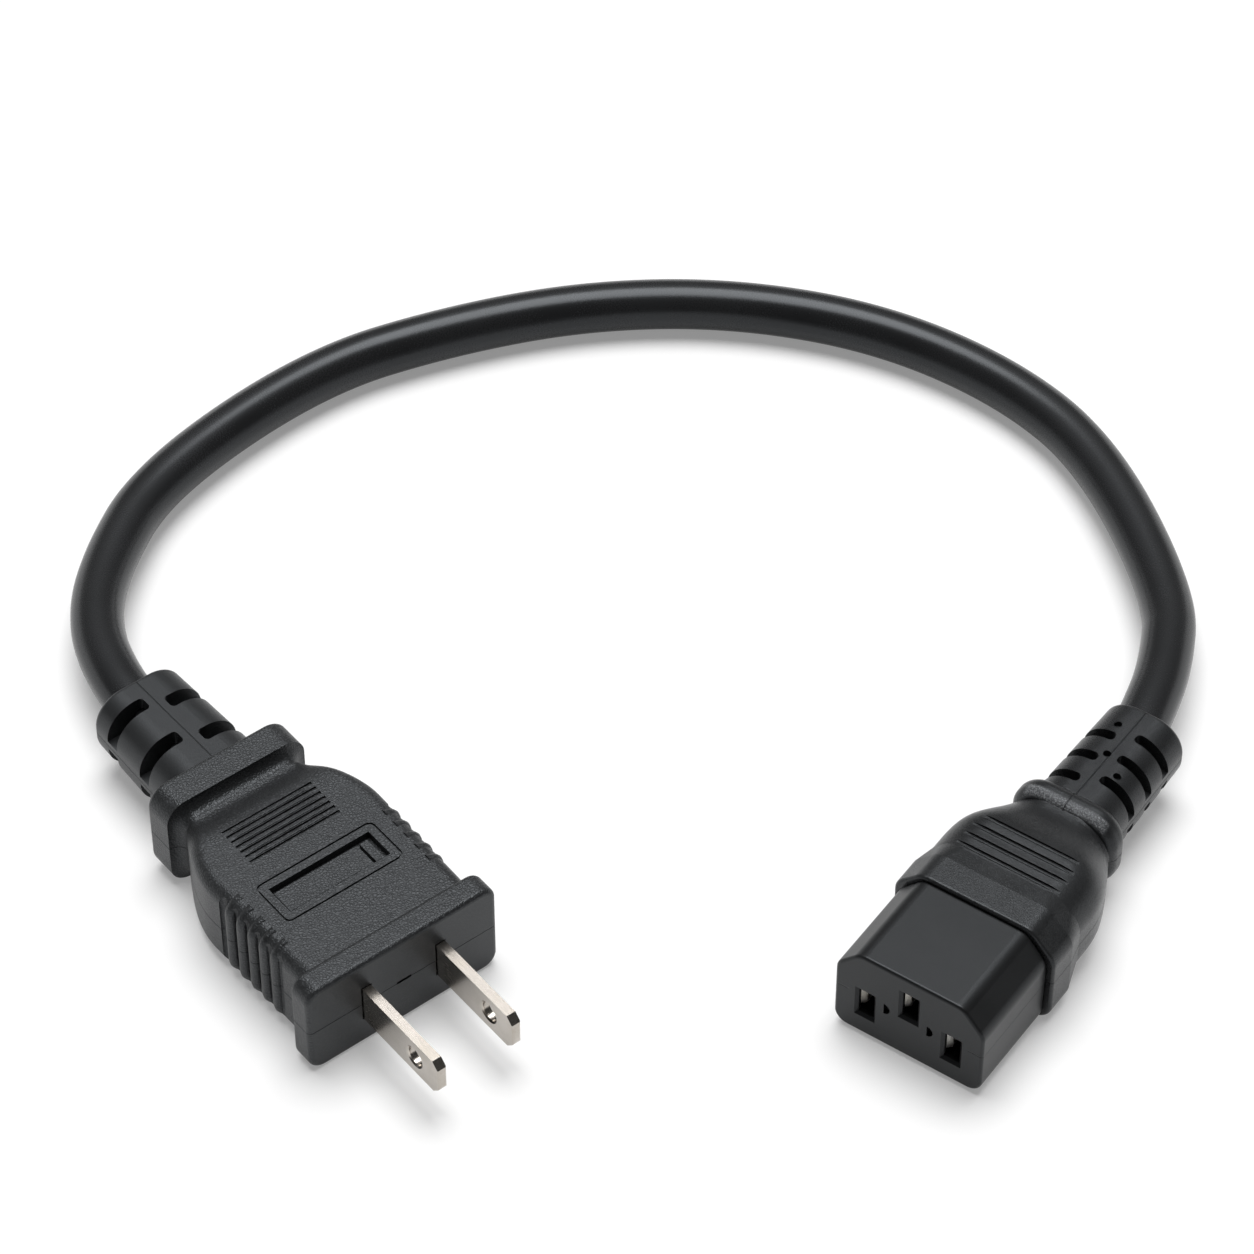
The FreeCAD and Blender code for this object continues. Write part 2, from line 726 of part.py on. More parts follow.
def connector_outside():
    """The connector's outer moulding before anything is cut out of it."""
    bevel = (collar_bevel_across, collar_bevel_down, collar_bevel_round, collar_corner)
    straight_end = shell_x + collar_taper_start
    wide, low = (bevelled_section(x, collar_width, collar_height, *bevel) for x in (collar_x, straight_end))
    round_cut = shell_corner * (2 - math.sqrt(2))
    inside = 2 * moulded_gap
    size = (shell_width - inside, shell_height - inside)
    round_off = shell_corner - inside
    taper_end = straight_end - collar_taper_length
    narrow = bevelled_section(taper_end, *size, round_cut, round_cut, round_off, shell_corner)
    collar = Part.Face(wide).extrude(Vector(straight_end - collar_x, 0, 0))
    collar = collar.makeFillet(nose_edge_round, edges_at(collar, collar_x))
    taper = Part.makeLoft([low, narrow], True, True)
    start_x = shell_x - (shell_length - shell_shoulder)
    front = bar(shell_x, shell_length - shell_shoulder, shell_width, shell_height, shell_corner)
    sizes = (shell_width, shell_neck_width), (shell_height, shell_neck_height)
    shell = [front, loft(shoulder(start_x, shell_shoulder, *sizes, shell_corner, shell_drop_start))]
    groove = 2 * neck_groove_depth
    neck_size = (shell_neck_width - groove, shell_neck_height - groove)
    neck = bar(shell_neck_x + 1, shell_neck_length + 2, *neck_size, shell_corner - neck_groove_depth)
    ridge = bar(ridge_x, ridge_length, ridge_width, ridge_height, ridge_corner)
    ridge = ridge.makeFillet(ridge_round, edges_at(ridge, ridge_x) + edges_at(ridge, connector_relief_x))
    ends = (connector_relief_root, connector_relief_rim)
    sleeve = relief(connector_relief_x, connector_relief_length, *ends)
    return fuse_all([collar, taper] + shell + [neck, ridge] + sleeve)


def connector_moulding():
    """Outer moulding of the connector round its nose, backing, cores and cord."""
    grow = 2 * moulded_gap
    tongue_space = nose_block(collar_x + 1, nose_tongue_length + 1, nose_tongue_inset - moulded_gap)
    backing_size = (backing_width + grow, backing_height + grow)
    backing_reach = backing_length + edge_round + grow
    backing_space = bar(backing_x + edge_round, backing_reach, *backing_size, backing_corner)
    cuts = [tongue_space, backing_space]
    for side in (-1, 1):
        cuts.append(core_channel(connector_core_points, side, contact_crimp_x))
    cuts += cord_bore(connector_jacket_x, connector_rim_x)
    for index in range(shell_line_count):
        x = -(shell_line_from_face + index * shell_line_pitch)
        cuts.append(box(x - line_width, x, shell_line_length, 2 * line_depth, 0, shell_height / 2))
    cuts += relief_slots(
        connector_relief_x, connector_slot_first, connector_slot_pitch, connector_slot_rows,
        connector_slot_stagger, connector_slot_width, connector_relief_root,
    )
    for from_root, y in dimples:
        start = Vector(connector_relief_x - from_root, y, connector_relief_rim[1] / 2 - dimple_depth)
        cuts.append(Part.makeCylinder(dimple_diameter / 2, 2 * dimple_depth, start))
    return connector_outside().cut(fuse_all(cuts))


def cord_points():
    """Points that the cord runs through or turns at, from jacket end to jacket end."""
    start = plug_place.multVec(Vector(plug_jacket_x, 0, 0))
    first = plug_place.multVec(Vector(plug_jacket_x - plug_cord_turn_at, 0, 0))
    last = connector_place.multVec(Vector(connector_jacket_x - connector_cord_turn_at, 0, 0))
    end = connector_place.multVec(Vector(connector_jacket_x, 0, 0))
    turns = [Vector(x, y, cord_diameter / 2 + lift) for x, y, lift in cord_turns]
    return [start, first] + turns + [last, end]


def cord():
    """The cord as one round solid, with its radii, length and volume printed."""
    points = cord_points()
    for before, point, after in zip(points, points[1:], points[2:]):
        turn = math.degrees((point - before).getAngle(after - point))
        radius = turn_radius(before, point, after)
        run = point.distanceToPoint(after)
        print(f"cord turn {turn:5.1f} deg, radius {radius:5.1f}, next run {run:5.1f}")
    path = rounded_path(points)
    solid = tube(path, cord_diameter)
    section = math.pi * cord_diameter ** 2 / 4
    print(f"cord length {path.Length:.1f}, volume share {solid.Volume / section / path.Length:.4f}")
    return solid


def main():
    """Builds every piece and writes each to its own file."""
    plug_pieces = {"plug_moulding": plug_moulding(), "plug_blade_carrier": carrier()}
    for name, side in (("live", -1), ("neutral", 1)):
        insulation, conductor = core_pair(plug_core_points, side, blade_crimp_x)
        plug_pieces[f"blade_{name}"] = blade(side)
        plug_pieces[f"plug_{name}_insulation"] = insulation
        plug_pieces[f"plug_{name}_conductor"] = conductor
    connector_pieces = {
        "connector_moulding": connector_moulding(),
        "connector_nose": nose(),
        "connector_backing": backing(),
    }
    for name, (y, z) in contact_seats.items():
        connector_pieces[f"contact_{name}"] = contact(y, z, crimped=name != "earth")
    for name, side in (("live", -1), ("neutral", 1)):
        insulation, conductor = core_pair(connector_core_points, side, contact_crimp_x)
        connector_pieces[f"connector_{name}_insulation"] = insulation
        connector_pieces[f"connector_{name}_conductor"] = conductor
    pieces = {"cord": cord()}
    for placed, place in ((plug_pieces, plug_place), (connector_pieces, connector_place)):
        for name, shape in placed.items():
            shape.Placement = place.multiply(shape.Placement)
            pieces[name] = shape
    os.makedirs("parts", exist_ok=True)
    for name, shape in pieces.items():
        solids = len(shape.Solids)
        print(f"{name}: {solids} solid, {shape.Volume:.1f} mm3, valid {shape.isValid()}")
        shape.exportStep(f"parts/{name}.step")


main()
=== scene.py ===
# %% [markdown]
# # A short mains lead: two-blade plug, round cord, appliance connector
#
# A moulded lead is three rubbery forms in one colour: a plug, a length of cord and a
# connector. Nearly everything that tells them apart is finish. The plug has a fine leather
# grain, the connector is smoother, the nose is hard plastic and the cord is sleek.
# The solid pieces come in as a fixed frame, in metres. This lesson lights them, gives each
# its finish, lays the cord again as one smooth curve and adds the fine marks of the mould.

# %% Load the frame
import json
import math

import bpy
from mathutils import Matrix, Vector


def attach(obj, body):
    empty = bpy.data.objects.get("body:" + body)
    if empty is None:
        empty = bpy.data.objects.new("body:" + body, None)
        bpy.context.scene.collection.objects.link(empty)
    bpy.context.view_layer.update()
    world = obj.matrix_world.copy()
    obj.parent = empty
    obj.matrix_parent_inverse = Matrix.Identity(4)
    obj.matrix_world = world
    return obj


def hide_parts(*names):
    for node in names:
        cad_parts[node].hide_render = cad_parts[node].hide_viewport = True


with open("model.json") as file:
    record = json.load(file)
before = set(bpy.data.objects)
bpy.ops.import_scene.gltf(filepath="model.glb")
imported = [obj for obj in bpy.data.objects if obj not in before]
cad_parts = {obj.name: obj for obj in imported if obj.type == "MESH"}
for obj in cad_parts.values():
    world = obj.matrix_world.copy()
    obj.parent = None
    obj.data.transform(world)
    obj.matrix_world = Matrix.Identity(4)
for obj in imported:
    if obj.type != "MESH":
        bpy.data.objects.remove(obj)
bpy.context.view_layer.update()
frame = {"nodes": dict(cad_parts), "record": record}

nodes = frame["nodes"]
mm = 0.001
mounts = {mount["name"]: mount for mount in frame["record"]["mounts"]}
plug_face = Vector(mounts["outlet_blades"]["pos_m"]) / mm
nose_face = Vector(mounts["appliance_inlet_nose"]["pos_m"]) / mm
nose_axis = Vector(mounts["appliance_inlet_nose"]["axis"])
print("pieces in the frame:", len(nodes))

# %% [markdown]
# The photograph was taken with a long lens from in front and well above, so the sides of
# the plug and the connector run almost parallel. The camera was fitted to the corners of
# both mouldings: 143.5 mm on a sensor 36 mm wide, 46.5 degrees above the horizon.

# %% Camera
camera_place = Vector((389.11, -249.39, 543.95)) * mm
camera_heading = Vector((-0.54, 0.42689, -0.72537))
camera_lens = 143.54

camera_data = bpy.data.cameras.new("camera")
camera_data.lens = camera_lens
camera_data.sensor_width = 36.0
camera_data.clip_start = 0.01
camera_data.clip_end = 50.0
camera = bpy.data.objects.new("camera", camera_data)
camera.location = camera_place
camera.rotation_mode = "QUATERNION"
camera.rotation_quaternion = camera_heading.to_track_quat("-Z", "Y")
bpy.context.scene.collection.objects.link(camera)
bpy.context.scene.camera = camera
print("camera is", round(camera_place.length / mm), "mm from the origin")

# %% [markdown]
# Shader maths reads best as plain expressions. A small class wraps one socket, and each
# operator on it adds the Math node that does the sum. Any other node comes from one
# method that takes its type, its settings and the values or links of its sockets.


# %% Shader maths as expressions
class Wire:
    """One output socket, with the usual operators."""

    def __init__(self, tree, socket):
        self.tree = tree
        self.socket = socket

    def calculate(self, operation, *others):
        node = self.tree.nodes.new("ShaderNodeMath")
        node.operation = operation
        for index, value in enumerate((self, *others)):
            plug_in(self.tree, value, node.inputs[index])
        return Wire(self.tree, node.outputs[0])

    def __add__(self, other):
        return self.calculate("ADD", other)

    def __radd__(self, other):
        return self.calculate("ADD", other)

    def __sub__(self, other):
        return self.calculate("SUBTRACT", other)

    def __rsub__(self, other):
        return (self * -1.0).calculate("ADD", other)

    def __mul__(self, other):
        return self.calculate("MULTIPLY", other)

    def __pow__(self, other):
        return self.calculate("POWER", other)

    def __abs__(self):
        return self.calculate("ABSOLUTE")

    def most(self, other):
        return self.calculate("MAXIMUM", other)


def plug_in(tree, value, socket):
    """Gives a socket a link or a plain value."""
    if isinstance(value, Wire):
        tree.links.new(value.socket, socket)
    else:
        socket.default_value = value


class Maker:
    """Adds nodes to one tree."""

    def __init__(self, tree):
        self.tree = tree

    def node(self, kind, settings=None, output=0, **sockets):
        """Adds a node. A socket is named, with _ for a space, or numbered, such as _0."""
        made = self.tree.nodes.new(kind)
        for name, value in (settings or {}).items():
            setattr(made, name, value)
        for name, value in sockets.items():
            numbered = name[0] == "_" and name[1:].isdigit()
            key = int(name[1:]) if numbered else name.replace("_", " ")
            plug_in(self.tree, value, made.inputs[key])
        return Wire(self.tree, made.outputs[output]) if len(made.outputs) else None

    def split(self, vector):
        """The three parts of a vector."""
        made = self.tree.nodes.new("ShaderNodeSeparateXYZ")
        plug_in(self.tree, vector, made.inputs[0])
        return [Wire(self.tree, socket) for socket in made.outputs]

    def ramp(self, value, low, high, at_low=0.0, at_high=1.0):
        """A value that goes smoothly from at_low to at_high as another goes from low to high."""
        return self.node(
            "ShaderNodeMapRange", {"interpolation_type": "SMOOTHSTEP"},
            Value=value, From_Min=low, From_Max=high, To_Min=at_low, To_Max=at_high,
        )

    def blend(self, share, first, second):
        """A colour between two others."""
        made = self.tree.nodes.new("ShaderNodeMix")
        made.data_type = "RGBA"
        plug_in(self.tree, share, made.inputs[0])
        plug_in(self.tree, first, made.inputs[6])
        plug_in(self.tree, second, made.inputs[7])
        return Wire(self.tree, made.outputs[2])


def grey(level, red=1.0, green=1.0, blue=1.0):
    """A colour near grey, with small shares of tint."""
    return (level * red, level * green, level * blue, 1.0)


black = grey(0.0)
print("shader helpers are ready")

# %% [markdown]
# The lead lies on a white sheet under one large soft light, high up and a little behind.
# Black rubber shows its light as much as its colour, so the light has a shape: a broad
# pale patch overhead for the long streak on the cord, a wall behind that fades towards the
# horizon, a dark room on the near side and the white sheet all round. All of it is at
# infinity, in the world and in one wide sun, so the floor is even everywhere. The three
# edges are heights or depths on a sphere of radius one, where one part fades into the next.

# %% Light
scene = bpy.context.scene
scene.view_settings.view_transform = "Standard"

away = Vector((camera_heading.x, camera_heading.y, 0)).normalized()
light_elevation = math.radians(77)
light_spread = math.radians(42)
light_strength = 2.83

light_data = bpy.data.lights.new("overhead_light", "SUN")
light_data.energy = light_strength
light_data.angle = light_spread
light = bpy.data.objects.new("overhead_light", light_data)
toward_light = away * math.cos(light_elevation) + Vector((0, 0, math.sin(light_elevation)))
light.rotation_mode = "QUATERNION"
light.rotation_quaternion = toward_light.to_track_quat("Z", "Y")
scene.collection.objects.link(light)

world = bpy.data.worlds.new("studio")
world.use_nodes = True
scene.world = world
world.node_tree.nodes.clear()
room = Maker(world.node_tree)
direction = room.node("ShaderNodeTexCoord", output=0)
east, north, up = room.split(direction)
behind = east * away.x + north * away.y

sheet_level = 1.09
near_room_level = 0.055
low_wall_level = 0.175
high_wall_level = 0.82
sheet_edge = (0.05, 0.16)
wall_rise = (0.35, 0.90)
back_edge = (-0.10, 0.45)
above_sheet = room.ramp(up, *sheet_edge)
wall_level = room.ramp(up, *wall_rise, low_wall_level, high_wall_level)
at_back = room.ramp(behind, *back_edge)
room_level = at_back * wall_level + (1.0 - at_back) * near_room_level
level = above_sheet * room_level + (1.0 - above_sheet) * sheet_level
glow = room.node("ShaderNodeBackground", Color=grey(1.0), Strength=level)
room.node("ShaderNodeOutputWorld", Surface=glow)
print("light patch is", round(math.degrees(light_spread)), "degrees wide")

# %% [markdown]
# The floor is a plain white sheet. It takes the object's shadow, so it is a real surface
# and not a backdrop, and a part of what the eye sees of it is lifted to paper white.

# %% Floor
floor_half = 40.0
floor_drop = 0.02 * mm
floor_mesh = bpy.data.meshes.new("floor")
corner_signs = ((-1, -1), (1, -1), (1, 1), (-1, 1))
floor_corners = [(x * floor_half, y * floor_half, 0) for x, y in corner_signs]
floor_mesh.from_pydata(floor_corners, [], [(0, 1, 2, 3)])
floor = bpy.data.objects.new("floor", floor_mesh)
floor.location.z = -floor_drop
scene.collection.objects.link(floor)

paper = bpy.data.materials.new("white_sheet")
paper.use_nodes = True
paper.node_tree.nodes.clear()
sheet = Maker(paper.node_tree)
camera_ray = sheet.node("ShaderNodeLightPath", output="Is Camera Ray")
glossy_ray = sheet.node("ShaderNodeLightPath", output="Is Glossy Ray")
clear_ray = sheet.node("ShaderNodeLightPath", output="Is Transmission Ray")
watched = camera_ray.most(glossy_ray).most(clear_ray)
paper_lift = 0.26
matt = sheet.node("ShaderNodeBsdfDiffuse", Color=grey(0.97))
white = sheet.node("ShaderNodeEmission", Color=grey(1.0), Strength=1.0)
mixed = sheet.node("ShaderNodeMixShader", _0=watched * paper_lift, _1=matt, _2=white)
sheet.node("ShaderNodeOutputMaterial", Surface=mixed)
floor_mesh.materials.append(paper)
print("floor is", 2 * floor_half, "m wide")

# %% [markdown]
# Every finish below is built the same way: a start that gives the material, its maker and
# the object's own coordinates in millimetres, and an end that joins colour, roughness and
# relief to one Principled shader. Numbers that are the same everywhere stay on the shader.


# %% Start and end of a finish
def start_finish(name):
    """A material, the maker of its nodes, and the object's coordinates in millimetres."""
    material = bpy.data.materials.new(name)
    material.use_nodes = True
    material.node_tree.nodes.clear()
    maker = Maker(material.node_tree)
    place = maker.node("ShaderNodeTexCoord", output=3)
    place = maker.node("ShaderNodeVectorMath", {"operation": "SCALE"}, _0=place, Scale=1 / mm)
    return material, maker, place


def end_finish(material, maker, colour, roughness, relief=None, depth=0.05, **fixed):
    """Joins a finish to one shader. Depth is the relief's height in millimetres."""
    sockets = {"Base_Color": colour, "Roughness": roughness}
    if relief is not None:
        sockets["Normal"] = maker.node(
            "ShaderNodeBump", Height=relief, Distance=depth * mm, Strength=1.0,
        )
    shader = maker.node("ShaderNodeBsdfPrincipled", **sockets, **fixed)
    maker.node("ShaderNodeOutputMaterial", Surface=shader)
    return material


def noise(maker, place, size, detail=2.0, roughness=0.5):
    """Soft random values, from 0 to 1, in lumps of about a size in millimetres."""
    return maker.node(
        "ShaderNodeTexNoise", Vector=place, Scale=1 / size, Detail=detail, Roughness=roughness,
    )


def put_on(material, *names):
    """Gives CAD pieces a finish."""
    for name in names:
        mesh = nodes[name].data
        mesh.materials.clear()
        mesh.materials.append(material)


# %% [markdown]
# Each moulding was cast between two halves of a mould, and a fine seam shows where they
# met: round the middle of the body, and along the top of each strain relief. A seam is a
# mask that is 1 where some distance is near zero. The connector lies turned, so its
# distances are worked out along and across its own axis.


# %% Seams and places on the mouldings
seam_core = 0.03
top_starts = 2.0
soft_edge = 0.2


def near_zero(maker, distance, half_width=0.13):
    """1 on a line where the distance is zero, with soft sides."""
    return 1.0 - maker.ramp(abs(distance), seam_core, half_width)


def plug_axes(maker, place):
    """Distances back from the plug's face, across it and above its middle."""
    x, y, z = maker.split(place)
    return plug_face.x - x, y, z - plug_face.z


def connector_axes(maker, place):
    """The same from the connector's face, along its own axis."""
    x, y, z = maker.split(place)
    from_x, from_y = x - nose_face.x, y - nose_face.y
    back = (from_x * nose_axis.x + from_y * nose_axis.y) * -1.0
    across = from_y * nose_axis.x - from_x * nose_axis.y
    return back, across, z - nose_face.z


plug_relief_from_face = 44.9
smooth_share = 0.15
face_edge = (0.02, 0.10)
ridge_from_face = 39.9
# A strip across the top of the connector's ridge is made paler and speckled: a painted highlight.
highlight_from_face = 40.0
highlight_width = 1.5
highlight_fade = 0.5
highlight_side = (6.2, 7.0)


def plug_marks(maker, place):
    """Seam of the plug's moulding, no painted highlight, and its grain, which its face and relief
    lack.
    """
    back, across, above = plug_axes(maker, place)
    round_body = near_zero(maker, above)
    on_relief = maker.ramp(back, plug_relief_from_face, plug_relief_from_face + soft_edge)
    on_top = maker.ramp(above, top_starts, top_starts + soft_edge)
    along_top = near_zero(maker, across) * on_relief * on_top
    behind_face = maker.ramp(back, *face_edge, smooth_share, 1.0)
    grained = (1.0 - on_relief * (1.0 - smooth_share)) * behind_face
    return round_body.most(along_top), None, grained


def connector_marks(maker, place):
    """Seam of the connector's moulding, a strip of painted highlight on its ridge, and its even
    grain.
    """
    back, across, above = connector_axes(maker, place)
    round_body = near_zero(maker, above)
    on_top = maker.ramp(above, top_starts, top_starts + soft_edge)
    behind_ridge = maker.ramp(back, ridge_from_face, ridge_from_face + soft_edge)
    along_top = near_zero(maker, across) * behind_ridge * on_top
    highlight_end = highlight_from_face + highlight_width
    behind_front = maker.ramp(back, highlight_from_face, highlight_from_face + highlight_fade)
    before_back = 1.0 - maker.ramp(back, highlight_end, highlight_end + highlight_fade)
    between_sides = 1.0 - maker.ramp(abs(across), *highlight_side)
    painted_highlight = behind_front * before_back * on_top * between_sides
    return round_body.most(along_top), painted_highlight, 1.0


print("plug face at", round(plug_face.x, 2), "mm, nose face at", [round(v, 2) for v in nose_face])

# %% [markdown]
# The plug's rubber is cast against an etched steel mould, which leaves a fine leather
# grain. Cells of a Voronoi pattern, with their edges sunk and softened by noise, give
# that pebbled skin at the right size of under half a millimetre. The connector's mould was
# nearly smooth, so the same finish serves it with a smaller and much shallower pebble.

# %% Grained rubber
rubber_level = 0.0155
rubber_tint = grey(1.0, 0.97, 1.0, 1.04)
cool_sheen = (0.90, 0.95, 1.0, 1.0)
groove_width = 0.28
seam_depth = 0.07
patch_size = 9.0
speckle_size = 0.22


def grained_rubber(name, pebble, depth, base_roughness, sheen, marks):
    """Rubber with a pebbled skin. Pebble is the size of a cell, in millimetres."""
    material, maker, place = start_finish(name)
    wander = maker.node(
        "ShaderNodeTexNoise", output=1, Vector=place, Scale=1 / (3 * pebble), Detail=1.0,
    )
    bent = maker.node(
        "ShaderNodeVectorMath", {"operation": "MULTIPLY_ADD"},
        _0=wander, _1=(pebble,) * 3, _2=place,
    )
    cells = maker.node(
        "ShaderNodeTexVoronoi", {"feature": "DISTANCE_TO_EDGE"}, Vector=bent, Scale=1 / pebble,
    )
    pebbles = maker.ramp(cells, 0.0, groove_width)
    fine = noise(maker, place, pebble / 3, 3.0, 0.6)
    broad = noise(maker, place, patch_size, 3.0)
    seam, painted_highlight, grained = marks(maker, place)

    # Broad patches vary the level a little, as the rubber's own tone. The grooves between pebbles
    # are darker and the pebble tops lighter: painted shade and light that follow the relief.
    height = (pebbles * 0.8 + fine * 0.2) * grained
    level = maker.ramp(broad, 0.3, 0.7, 0.85, 1.2) * rubber_level
    level = level * (maker.ramp(cells, 0.02, 0.25, -0.3, 0.15) * grained + 1.0)
    # On the connector's ridge a pale speckled strip is painted highlight, over a coarser relief.
    if painted_highlight is not None:
        speckle = maker.ramp(noise(maker, place, speckle_size, 3.0, 0.7), 0.42, 0.66)
        level = level + painted_highlight * (0.04 + speckle * 0.20)
        height = height + painted_highlight * speckle * 2.5

    # A seam is a groove of its own depth, whatever the depth of the grain, and its darker colour is
    # painted shade in that groove.
    level = level * (1.0 - seam * 0.75)
    height = height * (1.0 - seam) - seam * (seam_depth / depth)
    colour = maker.blend(level, black, rubber_tint)
    rough = base_roughness + (broad - 0.5) * 0.10 - pebbles * 0.06 + seam * 0.2
    return end_finish(
        material, maker, colour, rough, height, depth,
        Specular_IOR_Level=sheen, Specular_Tint=cool_sheen,
    )


plug_rubber = grained_rubber(
    "plug_rubber", pebble=0.44, depth=0.036, base_roughness=0.43, sheen=0.44, marks=plug_marks,
)
connector_rubber = grained_rubber(
    "connector_rubber", pebble=0.26, depth=0.012, base_roughness=0.32, sheen=0.32,
    marks=connector_marks,
)
put_on(plug_rubber, "plug_moulding")
put_on(connector_rubber, "connector_moulding")
print("rubber on the plug and the connector")

# %% [markdown]
# The nose is a hard plastic with a smoother face, dry to the touch, and the two inner
# mouldings are the same plastic left matt. Round the nose, where it sits in the collar, a
# band of painted shade stands for the shadow in the gap, and a short seam at each end of
# its face is darkened with painted shade.

# %% Hard plastic
nose_depth = 16.6
gap_shade_starts = nose_depth - 0.45
gap_shade_full = nose_depth - 0.15
side_edge = (9.6, 9.9)
side_seam_half_width = 0.10
plastic_tint = grey(1.0, 0.98, 1.0, 1.03)
plastic_sheen = 0.29


def nose_marks(maker, place):
    """Painted shade where the nose goes into the collar, for the shadow in the gap, and the short
    seams at its two sides.
    """
    back, across, above = connector_axes(maker, place)
    gap_shade = maker.ramp(back, gap_shade_starts, gap_shade_full)
    at_sides = maker.ramp(abs(across), *side_edge)
    return gap_shade, near_zero(maker, above, side_seam_half_width) * at_sides


def no_marks(maker, place):
    """No painted gap shade and no seam, for pieces that aren't seen."""
    return None, None


def hard_plastic(name, level, base_roughness, marks):
    """Plastic with a dry face and a faint unevenness, under a hundredth of a millimetre deep."""
    material, maker, place = start_finish(name)
    fine = noise(maker, place, 0.12, 3.0, 0.6)
    broad = noise(maker, place, 6.0, 2.0)
    level = maker.ramp(broad, 0.3, 0.7, 0.93, 1.1) * level
    rough = base_roughness + (broad - 0.5) * 0.06 + (fine - 0.5) * 0.05
    height = fine
    gap_shade, seam = marks(maker, place)
    if gap_shade is not None:
        # The band by the collar is painted shade for the shadow in the gap, and the darker side
        # seams are painted shade in their grooves.
        level = level * (1.0 - gap_shade * 0.9) * (1.0 - seam * 0.7)
        rough = rough + gap_shade * 0.4
        height = height - seam * 8.0
    colour = maker.blend(level, black, plastic_tint)
    return end_finish(
        material, maker, colour, rough, height, 0.008,
        Specular_IOR_Level=plastic_sheen, Specular_Tint=cool_sheen,
    )


nose_plastic = hard_plastic("nose_plastic", level=0.009, base_roughness=0.33, marks=nose_marks)
inner_plastic = hard_plastic("inner_plastic", level=0.015, base_roughness=0.6, marks=no_marks)
put_on(nose_plastic, "connector_nose")
put_on(inner_plastic, "connector_backing", "plug_blade_carrier")
print("plastic on the nose, the backing and the carrier")

# %% [markdown]
# The blades are brass with a nickel plate. They are stamped from strip that was rolled
# along its length, so fine streaks run the long way. The contacts are paler and duller, and
# the conductors in the two cores are bare copper.


# %% Metals
def drawn_metal(name, light_tone, dark_tone, base_roughness, along):
    """Metal in two cloudy tones, with streaks along the axis whose share is small."""
    material, maker, place = start_finish(name)
    stretched = maker.node("ShaderNodeVectorMath", {"operation": "MULTIPLY"}, _0=place, _1=along)
    streaks = noise(maker, stretched, 0.12, 3.0, 0.6)
    clouds = noise(maker, place, 4.0, 3.0)
    colour = maker.blend(maker.ramp(clouds, 0.35, 0.7), light_tone, dark_tone)
    rough = base_roughness + (streaks - 0.5) * 0.16 + (clouds - 0.5) * 0.08
    return end_finish(material, maker, colour, rough, streaks, 0.002, Metallic=1.0)


nickel = drawn_metal(
    "nickel_plate", light_tone=(0.50, 0.465, 0.425, 1), dark_tone=(0.43, 0.395, 0.35, 1),
    base_roughness=0.24, along=(0.06, 1, 1),
)
contact_metal = drawn_metal(
    "contact_metal", light_tone=(0.92, 0.90, 0.85, 1), dark_tone=(0.85, 0.81, 0.73, 1),
    base_roughness=0.42, along=(0.3, 1, 1),
)
copper = drawn_metal(
    "copper", light_tone=(0.78, 0.40, 0.26, 1), dark_tone=(0.66, 0.30, 0.18, 1),
    base_roughness=0.3, along=(0.3, 1, 1),
)
put_on(nickel, "blade_live", "blade_neutral")
put_on(contact_metal, "contact_live", "contact_earth", "contact_neutral")
conductors = [n for n in nodes if n.endswith("_conductor")]
put_on(copper, *conductors)
print("metal on the blades, the contacts and", len(conductors), "conductors")

# %% [markdown]
# The two cores are soft coloured plastic. They are sealed inside the mouldings, but a
# piece that is opened up in another use still needs its finish.

# %% Core insulation
dark_share = 0.82


def soft_plastic(name, tone, base_roughness):
    """Soft coloured plastic, a little darker in patches."""
    material, maker, place = start_finish(name)
    broad = noise(maker, place, 2.5, 2.0)
    dark = tuple(v * dark_share for v in tone[:3]) + (1.0,)
    colour = maker.blend(maker.ramp(broad, 0.3, 0.7), tone, dark)
    fine = noise(maker, place, 0.2, 2.0)
    return end_finish(material, maker, colour, base_roughness + (fine - 0.5) * 0.06, fine, 0.004)


live_plastic = soft_plastic("live_core_plastic", (0.27, 0.11, 0.05, 1), 0.42)
neutral_plastic = soft_plastic("neutral_core_plastic", (0.04, 0.13, 0.36, 1), 0.42)
for name in nodes:
    if name.endswith("_live_insulation"):
        put_on(live_plastic, name)
    if name.endswith("_neutral_insulation"):
        put_on(neutral_plastic, name)
print("brown and blue on the cores")

# %% [markdown]
# The cord is one smooth springy curve: straight out of each sleeve, down to the floor and
# round in a loop. A NURBS curve of order three lies near straight runs with soft bends,
# as a stiff cord does. Its order is set after the points, or it would stay at straight
# runs. The jacket is sleek, with only a faint unevenness.

# %% Cord
cord_diameter = 8.0 * mm
cord_points = [
    (-22.8, 0.0, 8.2), (-34.4, 0.0, 8.2), (-46.0, 0.2, 8.0), (-59.1, 4.3, 6.8),
    (-70.2, 13.5, 5.4), (-81.8, 30.7, 4.4), (-86.4, 63.9, 4.0), (-80.6, 86.9, 4.0),
    (-71.5, 107.7, 4.0), (-57.7, 125.8, 4.0), (-39.1, 140.1, 4.0), (-17.1, 147.7, 4.0),
    (4.1, 147.5, 4.4), (34.2, 134.8, 5.6), (44.9, 123.6, 7.1), (51.1, 113.9, 8.2),
    (56.183, 104.425, 8.55), (59.564, 93.328, 8.55),
]

cord_data = bpy.data.curves.new("mains_cord", "CURVE")
cord_data.dimensions = "3D"
cord_spline = cord_data.splines.new("NURBS")
cord_spline.points.add(len(cord_points) - 1)
for point, (x, y, z) in zip(cord_spline.points, cord_points):
    point.co = (x * mm, y * mm, z * mm, 1.0)
cord_spline.order_u = 3
cord_spline.use_endpoint_u = True
cord_spline.resolution_u = 16
cord_data.bevel_depth = cord_diameter / 2
cord_data.bevel_resolution = 10
cord_data.use_fill_caps = True
mains_cord = bpy.data.objects.new("mains_cord", cord_data)
scene.collection.objects.link(mains_cord)

jacket_sheen = 0.34


